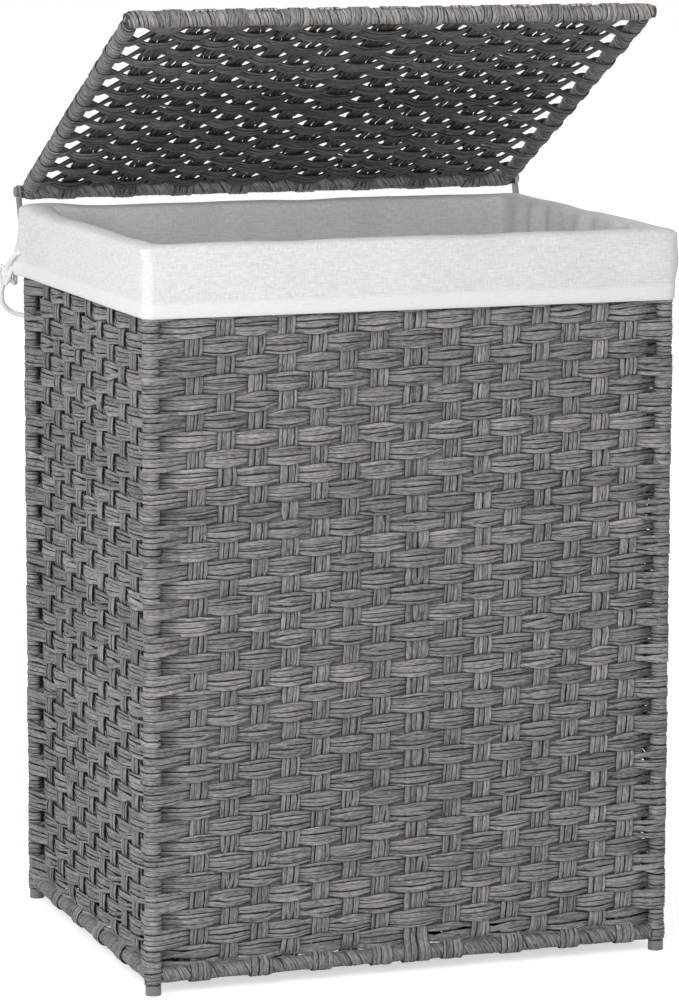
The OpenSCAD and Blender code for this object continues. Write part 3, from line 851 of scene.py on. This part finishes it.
class HAMPER_OT_lid(bpy.types.Operator):
    """Weave the lid and wind its four rails"""

    bl_idname = "hamper.lid"
    bl_label = "Lid"

    def execute(self, context):
        settings = context.scene.hamper_strand
        rng = np.random.default_rng(settings.seed + 4)
        pitch = (LID_D - 2 * LID_EDGE) / LID_ROWS
        rows = LID_EDGE + (np.arange(LID_ROWS) + 0.5) * pitch
        # Painted shade: the weft rows' underside is coloured darker (tone 0.68) for the shade under the lid; their
        # upper side (back) and their ends round the side rails (end_tone) are coloured lighter again.
        weft_look = {
            "room": LID_ROW_ROOM, "count": (4, 4, 5), "thickness": 1.7 * MM, "spread": (1.08, 1.0, 1.0),
            "slant": 0.4 * MM, "swap": 0.4, "tone": 0.68, "end_spread": 0.64, "back": 1.4, "end_tone": 1.25,
        }
        wefts = StrandMesh()
        for row, place in enumerate(rows):
            signs = alternate(len(FRONT_STAKES), row)
            ends = rod_ends(-HALF_W, HALF_W, LID_SIDE_TURN_R + rng.uniform(-0.5, 0.2) * MM, -signs[0], -signs[-1])
            middle = place + rng.normal(0, 0.7) * MM
            add_bundle(wefts, LID_PANEL, middle, FRONT_STAKES, signs, settings.lid_lift, ends, 6, weft_look, rng)
        wefts.build("lid_weft_rows", "weft_strand", "lid", ["lid_wefts"])
        stakes = StrandMesh()
        # Painted shade: the stakes' underside is coloured dark (tone 0.48) for the shade under the lid; their upper
        # side (back) and their ends round the rails (end_tone) are coloured lighter again.
        for k, place in enumerate(FRONT_STAKES):
            middle_one = k == len(FRONT_STAKES) // 2
            signs = -alternate(LID_ROWS, k)
            look = {
                "room": MIDDLE_STAKE_ROOM if middle_one else STAKE_ROOM, "count": (4, 5), "thickness": 1.5 * MM,
                "spread": (1.04, 1.0, 0.98), "slant": 0.8 * MM, "swap": 0.5, "tone": 0.48, "back": 1.8,
                "end_tone": 2.2,
            }
            ends = rod_ends(0, LID_D, LID_RAIL_TURN_R, -signs[0], -signs[-1])
            add_bundle(stakes, LID_PANEL.turned(), place, rows, signs, 0.7 * MM, ends, 4, look, rng)
        stakes.build("lid_stake_strands", "stake_strand", "lid", ["lid_stakes"])
        rails = [
            ("front", on_lid(-LID_RAIL_REACH, LID_D), on_lid(LID_RAIL_REACH, LID_D), 4, 1.6 * MM, 1.25),
            ("rear", on_lid(-LID_RAIL_REACH, 0), on_lid(LID_RAIL_REACH, 0), 8, 1.6 * MM, 1.15),
        ]
        for side, sign in SIDES.items():
            x = sign * HALF_W
            rails.append((side, on_lid(x, LID_SIDE_GAP), on_lid(x, LID_D - LID_SIDE_GAP), 1, 1.3 * MM, LID_SIDE_TONE))
        for name, start, stop, starts, thickness, tone in rails:
            mesh = StrandMesh()
            add_winding(mesh, start, stop, WINDING_R, LID_STRAND, starts, thickness, tone, rng, swell=LID_SWELL,
                        rings=12)
            mesh.build(f"lid_winding_{name}", "wound_strand", "lid", [f"lid_wrap_{name}"])
        return {"FINISHED"}


# Liner

CUFF_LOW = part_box("liner_hem")[0][2]
HEM_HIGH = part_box("liner_hem")[1][2]
RIM_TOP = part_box("liner_cuff")[1][2]
BAG_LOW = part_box("liner_bag")[0][2]
CUFF_HALF = (size_of("liner_cuff").x / 2, size_of("liner_cuff").y / 2)
BAG_HALF = (size_of("liner_bag").x / 2 - 1.3 * MM, size_of("liner_bag").y / 2 - 1.3 * MM)
# Radius of the cuff's corners, depth of the fold over the rim, and rows of the cuff's outer face
CUFF_TURN, FOLD_DEPTH, CUFF_ROWS = 9 * MM, 8 * MM, 14
COLUMN_STEP, CORNER_COLUMNS = 5 * MM, 8
# How far the posts, the corner, the loose fold and the peak press the cloth, and how far each reaches
TIGHT = 3.6 * MM
CORNER_BULGE, BULGE_OVER_EDGE, BULGE_REACH = 3.6 * MM, 32 * MM, 16 * MM
PEAK, PEAK_DROP, PEAK_REACH = 3.2 * MM, 22 * MM, 26 * MM
LOOSE_FOLD, LOOSE_FOLD_BELOW, LOOSE_FOLD_DROP, LOOSE_FOLD_REACH = 9 * MM, 16 * MM, 20 * MM, 30 * MM
# The gathers inside are deepest this far under the rim, fade over this height, and are deeper at the right.
GATHER_BELOW, GATHER_HEIGHT, GATHER, RIGHT_GATHER = 28 * MM, 34 * MM, 0.9, 3.0
EAR_REACH, EAR_PULL = 15 * MM, np.array([-5.5, 3.0, 1.0]) * MM
BOTTOM_RINGS = (0.93, 0.8, 0.6, 0.4, 0.2, 0.04)


def outline_columns():
    """Columns round a rectangle: shares of the corner's place, outward way, and distance round, in metres."""
    half_w, half_d = CUFF_HALF
    across, deep = int(2 * half_w / COLUMN_STEP), int(2 * half_d / COLUMN_STEP)
    columns = []
    sides = (((-1, -1), (1, -1), across), ((1, -1), (1, 1), deep), ((1, 1), (-1, 1), across),
             ((-1, 1), (-1, -1), deep))
    for k, (start, end, count) in enumerate(sides):
        heading = math.radians(-90 + 90 * k)
        for i in range(count):
            t = i / count
            columns.append((start[0] + (end[0] - start[0]) * t, start[1] + (end[1] - start[1]) * t, heading))
        for i in range(CORNER_COLUMNS):
            columns.append((end[0], end[1], heading + math.radians(90) * i / CORNER_COLUMNS))
    cx, cy, heading = np.array(columns).T
    way = np.stack([np.cos(heading), np.sin(heading)], axis=1)
    at = np.stack([cx * (half_w - CUFF_TURN), cy * (half_d - CUFF_TURN)], axis=1) + way * CUFF_TURN
    steps = np.linalg.norm(at - np.roll(at, 1, axis=0), axis=1)
    steps[0] = 0
    return np.stack([cx, cy], axis=1), way, np.cumsum(steps)


def outline(columns, way, half):
    """Points round a rectangle with the cuff's round corners, in the row frame's x and y."""
    inner = np.array([half[0] - CUFF_TURN, half[1] - CUFF_TURN])
    return columns * inner + way * CUFF_TURN + np.array([0, MIDDLE_Y])


def waves(rng, round_by, count, shortest, longest):
    """A seeded sum of waves round the hamper, between about -1 and 1."""
    whole = round_by[-1]
    total = np.zeros_like(round_by)
    for _ in range(count):
        cycles = max(1, round(whole / rng.uniform(shortest, longest)))
        total += np.sin(2 * np.pi * cycles * round_by / whole + rng.uniform(0, 6.28))
    return total / count ** 0.5 / 1.4


def liner_profile():
    """From the cuff's lower edge over the rim and down to the floor: (share of the way from the cuff to the bag,
    height), with the length of cloth to each."""
    fold_low = RIM_TOP - FOLD_DEPTH
    rows = [(0.0, z) for z in np.linspace(CUFF_LOW + 1 * MM, fold_low, CUFF_ROWS)]
    for angle in np.radians(np.linspace(12, 168, 12)):
        rows.append((0.5 - 0.5 * math.cos(angle), fold_low + FOLD_DEPTH * math.sin(angle) ** 0.55))
    rows += [(1.0, z) for z in np.linspace(fold_low, fold_low - 110 * MM, 20)]
    rows += [(1.0, z) for z in np.linspace(fold_low - 130 * MM, BAG_LOW + 6 * MM, 16)]
    share, height = np.array(rows).T
    gap = CUFF_HALF[0] - BAG_HALF[0]
    length = np.concatenate([[0], np.cumsum(np.hypot(np.diff(share) * gap, np.diff(height)))])
    return share, height, length


def cloth_mesh(name, grid, round_by, down, sheet=0):
    """A mesh from rows of columns that close round the hamper. Each point keeps its place on the flat cloth."""
    rows, columns = grid.shape[:2]
    i, k = np.meshgrid(np.arange(rows - 1), np.arange(columns), indexing="ij")
    after = (k + 1) % columns
    quads = np.stack([i * columns + k, i * columns + after, (i + 1) * columns + after, (i + 1) * columns + k], -1)
    cloth = np.empty_like(grid)
    cloth[..., 0] = round_by[None, :]
    cloth[..., 1] = down[:, None]
    cloth[..., 2] = sheet
    attributes = {"cloth": ("FLOAT_VECTOR", "vector", cloth.reshape(-1, 3) / MM)}
    return quad_mesh(name, grid.reshape(-1, 3), quads.reshape(-1, 4), attributes)


def thicken(cloth, thickness):
    thick = cloth.modifiers.new("cloth_thickness", "SOLIDIFY")
    thick.thickness, thick.offset = thickness, -1


def draped_cloth(wrinkle, columns, way, round_by, share, height):
    """Rows of points of the cuff and the bag, with their wrinkles, gathers and folds."""
    rng = np.random.default_rng(41)
    slow = waves(rng, round_by, 4, 0.12, 0.4)
    quick = waves(rng, round_by, 6, 0.022, 0.07)
    other = waves(rng, round_by, 6, 0.03, 0.09)
    top = waves(rng, round_by, 4, 0.08, 0.2)
    right = np.clip((columns[:, 0] - 0.97) / 0.03, 0, 1)
    near_corner = bell(np.linalg.norm(columns - (1, -1), axis=1), 0.02 ** 0.5)
    grid = np.empty((len(share), len(columns), 3))
    for i, (s, z) in enumerate(zip(share, height)):
        half = [c * (1 - s) + b * s for c, b in zip(CUFF_HALF, BAG_HALF)]
        inside = smooth((s - 0.6) / 0.4)
        outside = 1 - inside
        drop = max(0.0, RIM_TOP - z)
        bulge = wrinkle * (0.55 * slow * outside + inside * 0.5 * other)
        gather = inside * bell(drop - GATHER_BELOW, GATHER_HEIGHT)
        inward = gather * wrinkle * (GATHER + RIGHT_GATHER * right) * (quick + 1) * 0.9
        points = outline(columns, way, half) + way * (bulge - inward)[:, None]
        # The cuff is tight over the front posts and gives way to the lugs at the rear.
        front = (1 - columns[:, 1]) / 2
        tight = TIGHT * front * outside * (0.35 + 0.65 * smooth((RIM_TOP - z) / 20 / MM))
        points[:, 0] -= tight * columns[:, 0]
        bulged = bell(z - CUFF_LOW - BULGE_OVER_EDGE, BULGE_REACH) * outside
        points = points + way * (CORNER_BULGE * bulged * near_corner)[:, None]
        # The edge only dips, because the closed lid lies just over it.
        grid[i, :, 2] = z + bell(drop, 9 * MM) * wrinkle * 0.8 * np.minimum(top - 0.3, 0)
        # At the rear left corner the cloth is bunched up over the post's end, with a loose fold inside.
        from_peak = np.hypot((columns[:, 0] + 1) * half[0] - 5 * MM, (columns[:, 1] - 1) * half[1] + 4 * MM)
        grid[i, :, 2] += PEAK * bell(drop, PEAK_DROP) * bell(from_peak, PEAK_REACH)
        fold = inside * bell(drop - LOOSE_FOLD_BELOW, LOOSE_FOLD_DROP) * bell(from_peak, LOOSE_FOLD_REACH)
        grid[i, :, :2] = points - way * (LOOSE_FOLD * fold)[:, None]
    # The tie pulls the cuff's lower rear left corner out towards its knot.
    ear = np.array([-CUFF_HALF[0], MIDDLE_Y + CUFF_HALF[1], CUFF_LOW + 9 * MM])
    far = np.linalg.norm((grid - ear) * (1, 1, 0.75), axis=2)
    pull = bell(far, EAR_REACH) * (share < 0.3)[:, None]
    return grid + pull[..., None] * EAR_PULL


def bag_bottom(last):
    """Rings that close the bag under its last row."""
    rings = []
    for t in BOTTOM_RINGS:
        ring = last * (t, t, 1) + np.array([0, MIDDLE_Y * (1 - t), 0])
        ring[:, 2] = BAG_LOW + 1 * MM
        rings.append(ring)
    return np.array(rings)


class HAMPER_OT_liner(bpy.types.Operator):
    """Fold the cloth liner over the rim, with its hem, and hang its bag inside"""

    bl_idname = "hamper.liner"
    bl_label = "Liner"

    def execute(self, context):
        settings = context.scene.hamper_liner
        columns, way, round_by = outline_columns()
        share, height, length = liner_profile()
        grid = draped_cloth(settings.wrinkle, columns, way, round_by, share, height)
        whole = np.concatenate([grid, bag_bottom(grid[-1])])
        down = np.concatenate([length, length[-1] + np.arange(1, len(BOTTOM_RINGS) + 1) * 30 * MM])
        liner = cloth_mesh("liner", whole, round_by, down)
        place_piece(liner, "liner_cloth", "basket", ["liner_bag", "liner_cuff"])
        thicken(liner, settings.thickness)
        outward = np.concatenate([way, np.zeros((len(way), 1))], axis=1)
        hem = self.hem(grid, round_by, outward)
        stitches = self.stitches(grid, outward, height)
        return {"FINISHED"}

    def hem(self, grid, round_by, outward):
        """The turned-up band along the cuff's lower edge, lying on the cuff."""
        heights = np.array([CUFF_LOW + 0.6 * MM, CUFF_LOW, CUFF_LOW + 0.5 * MM, CUFF_LOW + 4 * MM,
                            CUFF_LOW + 9 * MM, HEM_HIGH - 1.0 * MM, HEM_HIGH - 0.2 * MM, HEM_HIGH])
        proud = np.array([-0.9, -0.2, 0.55, 0.75, 0.75, 0.65, 0.45, -0.1]) * MM
        z = grid[:CUFF_ROWS, :, 2]
        rows = np.empty((len(heights), len(outward), 3))
        for k, out in enumerate(outward):
            for axis in (0, 1):
                rows[:, k, axis] = np.interp(heights, z[:, k], grid[:CUFF_ROWS, k, axis]) + proud * out[axis]
            rows[:, k, 2] = heights
        # Its own number keeps its threads apart from the cuff's.
        hem = cloth_mesh("liner_hem_band", rows, round_by, heights, sheet=9)
        place_piece(hem, "liner_cloth", "basket", ["liner_hem"], material="hem_cloth")
        thicken(hem, 0.5 * MM)
        return hem

    def stitches(self, grid, outward, height):
        """One line of thread near the hem's upper edge, each stitch a short arch of thread."""
        thread_z = HEM_HIGH - 1.2 * MM
        level = int(np.argmin(np.abs(height[:CUFF_ROWS] - thread_z)))
        line = grid[level] + outward * 0.95 * MM
        line[:, 2] = thread_z
        closed = np.concatenate([line, line[:1]])
        ways = np.concatenate([outward, outward[:1]])
        run = np.concatenate([[0], np.cumsum(np.linalg.norm(np.diff(closed, axis=0), axis=1))])
        pitch, stitch, thread = 3.2 * MM, 2.6 * MM, 0.5 * MM
        mesh = StrandMesh()
        arch = np.array([-0.35, -0.1, -0.1, -0.35]) * MM
        for k in range(int(run[-1] / pitch)):
            at = k * pitch + np.array([0, 0.25, 0.6, 0.85]) * stitch
            path = np.stack([np.interp(at, run, closed[:, axis]) for axis in range(3)], axis=1)
            out = np.stack([np.interp(at, run, ways[:, axis]) for axis in range(3)], axis=1)
            mesh.add(path + out * arch[:, None], out, thread, thread, 1.0, 0.0)
        piece = quad_mesh("liner_hem_stitches", np.concatenate(mesh.points), np.concatenate(mesh.quads), {})
        return place_piece(piece, "liner_cloth", "basket", [], material="tie_cotton")


# Tie

# The route of the cord, in millimetres, before the hamper's shift along y
TIE_ROUTE = [
    (-230, 159, 563), (-234, 165, 560), (-237, 172, 553), (-238, 178, 545), (-239, 182, 536),
    (-240, 186, 526), (-238, 189, 516), (-231, 189, 509), (-222, 186, 506), (-214, 180, 505),
]
TIE_R = 2.2 * MM
TIE_LAY = 11 * MM
TIE_SIDES = 18


def smooth_route(points, steps):
    """A Catmull-Rom curve through the points."""
    points = np.array(points, float)
    padded = np.concatenate([points[:1], points, points[-1:]])
    route = []
    for i in range(len(points) - 1):
        p, a, b, n = padded[i : i + 4]
        for t in np.arange(steps) / steps:
            route.append(0.5 * (2 * a + (b - p) * t + (2 * p - 5 * a + 4 * b - n) * t * t
                                + (3 * a - p - 3 * b + n) * t ** 3))
    return np.array(route + [points[-1]])


def twisted_tube(name, path, radius, closed=False):
    """A cord of three twisted strands along a path."""
    sides = TIE_SIDES
    run = np.roll(path, -1, axis=0) - np.roll(path, 1, axis=0) if closed else np.gradient(path, axis=0)
    run /= np.linalg.norm(run, axis=1)[:, None]
    side = np.cross(run, (0.8, 0.6, 0.05))
    side /= np.linalg.norm(side, axis=1)[:, None]
    other = np.cross(side, run)
    length = np.concatenate([[0], np.cumsum(np.linalg.norm(np.diff(path, axis=0), axis=1))])
    angle = 2 * np.pi * np.arange(sides) / sides
    ridge = 0.86 + 0.14 * np.abs(np.cos(1.5 * (angle[None, :] - 2 * np.pi * length[:, None] / TIE_LAY)))
    ring = path[:, None] + radius * ridge[..., None] * (
        np.cos(angle)[None, :, None] * side[:, None] + np.sin(angle)[None, :, None] * other[:, None]
    )
    n = len(path)
    i, k = np.meshgrid(np.arange(n if closed else n - 1), np.arange(sides), indexing="ij")
    after, following = (k + 1) % sides, (i + 1) % n
    quads = np.stack([i * sides + k, i * sides + after, following * sides + after, following * sides + k], -1)
    quads = quads.reshape(-1, 4)
    if not closed:
        caps = [[j, j + 1, sides - 2 - j, sides - 1 - j] for j in range(sides // 2 - 1)]
        start = np.array(caps)[:, ::-1]
        end = np.array(caps) + (n - 1) * sides
        quads = np.concatenate([quads, start, end])
    return quad_mesh(name, ring.reshape(-1, 3), quads, {})


class HAMPER_OT_tie(bpy.types.Operator):
    """Lay the tie cord from its slot in the cuff, through its knot and back behind the post"""

    bl_idname = "hamper.tie"
    bl_label = "Tie cord"

    def execute(self, context):
        shift = MIDDLE_Y / MM
        route = [(x, y + shift, z) for x, y, z in TIE_ROUTE]
        path = smooth_route(route, 8) * MM
        cord = twisted_tube("tie_cord_laid", path, TIE_R)
        place_piece(cord, "tie_cotton", "basket", ["tie_cord"])
        low, high = (np.array(v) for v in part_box("tie_knot"))
        # A trefoil, fitted to the room of the knot
        t = np.linspace(0, 2 * np.pi, 91)[:-1]
        loops = np.stack([np.sin(t) + 2 * np.sin(2 * t), np.cos(t) - 2 * np.cos(2 * t), -np.sin(3 * t)], axis=1)
        room = (high - low) / 2 - TIE_R * 0.9
        loops = loops / np.abs(loops).max(axis=0) * room
        knot = twisted_tube("tie_knot_tied", (low + high) / 2 + loops, TIE_R * 0.95, closed=True)
        place_piece(knot, "tie_cotton", "basket", ["tie_knot"])
        return {"FINISHED"}


# Metal, caps and stage


class HAMPER_OT_hardware(bpy.types.Operator):
    """Give the steel, the hinge and the foot caps their finishes"""

    bl_idname = "hamper.hardware"
    bl_label = "Steel, hinge and caps"

    def execute(self, context):
        for row in frame["record"]["subparts"]:
            slot = row["material_slot"]
            if slot in ("frame_steel", "hinge_steel", "foot_cap"):
                mesh = frame["nodes"][row["node"]].data
                mesh.materials.clear()
                mesh.materials.append(finish_of(slot))
        return {"FINISHED"}


def area_light(name, place, target, size, power):
    light = bpy.data.lights.new(name, "AREA")
    light.shape, light.size, light.size_y, light.energy = "RECTANGLE", size[0], size[1], power
    lamp = bpy.data.objects.new(name, light)
    lamp.location = place
    lamp.rotation_mode = "QUATERNION"
    lamp.rotation_quaternion = (Vector(target) - Vector(place)).to_track_quat("-Z", "Y")
    bpy.context.scene.collection.objects.link(lamp)


CAMERA_AT = (-1.2446, -3.4763, 0.9456)
CAMERA_YAW, CAMERA_PITCH, CAMERA_ROLL = 19.71, 8.98, 0.14
FLOOR_HALF = 6.0


class HAMPER_OT_stage(bpy.types.Operator):
    """Set up the camera, the soft lights and the pale floor"""

    bl_idname = "hamper.stage"
    bl_label = "Stage"

    def execute(self, context):
        settings = context.scene.hamper_stage
        camera = bpy.data.cameras.new("camera")
        camera.lens, camera.sensor_width = settings.lens, 36.0
        camera.clip_end = 50.0
        eye = bpy.data.objects.new("camera", camera)
        context.scene.collection.objects.link(eye)
        yaw, pitch, roll = (math.radians(v) for v in (CAMERA_YAW, CAMERA_PITCH, CAMERA_ROLL))
        turn = Matrix.Rotation(-yaw, 4, "Z") @ Matrix.Rotation(math.pi / 2 - pitch, 4, "X")
        turn = turn @ Matrix.Rotation(roll, 4, "Z")
        eye.matrix_world = Matrix.Translation(CAMERA_AT) @ turn
        context.scene.camera = eye
        context.scene.view_settings.view_transform = "Standard"
        corners = FLOOR_HALF * np.array([(-1, -1, 0), (1, -1, 0), (1, 1, 0), (-1, 1, 0)])
        floor = quad_mesh("floor", corners, np.array([[0, 1, 2, 3]]), {})
        floor.data.materials.append(floor_material(settings))
        area_light("key", (-1.1, -1.4, 1.05), (-0.1, 0, 0.3), (1.4, 1.1), settings.key)
        area_light("fill", (-2.6, -0.4, 1.3), (0, 0, 0.3), (1.6, 1.6), settings.fill)
        world = bpy.data.worlds.new("studio")
        world.use_nodes = True
        tree = world.node_tree
        tree.nodes.clear()
        seen = node(tree, "ShaderNodeLightPath").outputs["Is Camera Ray"]
        even = node(tree, "ShaderNodeBackground", Color=(1, 1, 1, 1), Strength=settings.sky)
        plain = node(tree, "ShaderNodeBackground", Color=(1, 1, 1, 1), Strength=1.0)
        both = node(tree, "ShaderNodeMixShader", _0=seen, _1=even.outputs[0], _2=plain.outputs[0])
        node(tree, "ShaderNodeOutputWorld", Surface=both.outputs[0])
        context.scene.world = world
        return {"FINISHED"}


STEPS = (
    HAMPER_OT_stage, HAMPER_OT_tie, HAMPER_OT_hardware, HAMPER_OT_wefts, HAMPER_OT_stakes, HAMPER_OT_windings,
    HAMPER_OT_floor_panel, HAMPER_OT_lid, HAMPER_OT_liner,
)


class HAMPER_PT_panel(bpy.types.Panel):
    """Lists the hamper's settings and the steps that build it"""

    bl_idname = "HAMPER_PT_panel"
    bl_label = "Woven Hamper"
    bl_space_type = "VIEW_3D"
    bl_region_type = "UI"
    bl_category = "Hamper"

    def draw(self, context):
        for name in SETTINGS:
            group = getattr(context.scene, name)
            for key in type(group).__annotations__:
                self.layout.prop(group, key)
        for step in STEPS:
            self.layout.operator(step.bl_idname)


SETTINGS = {
    "hamper_strand": HamperStrandSettings,
    "hamper_liner": HamperLinerSettings,
    "hamper_stage": HamperStageSettings,
}
CLASSES = (*SETTINGS.values(), *STEPS, HAMPER_PT_panel)


def register():
    for cls in CLASSES:
        bpy.utils.register_class(cls)
    for name, cls in SETTINGS.items():
        setattr(bpy.types.Scene, name, bpy.props.PointerProperty(type=cls))


def unregister():
    for name in SETTINGS:
        delattr(bpy.types.Scene, name)
    for cls in reversed(CLASSES):
        bpy.utils.unregister_class(cls)


def main():
    register()
    for step in STEPS:
        group, action = step.bl_idname.split(".")
        getattr(getattr(bpy.ops, group), action)()


if __name__ == "__main__":
    main()
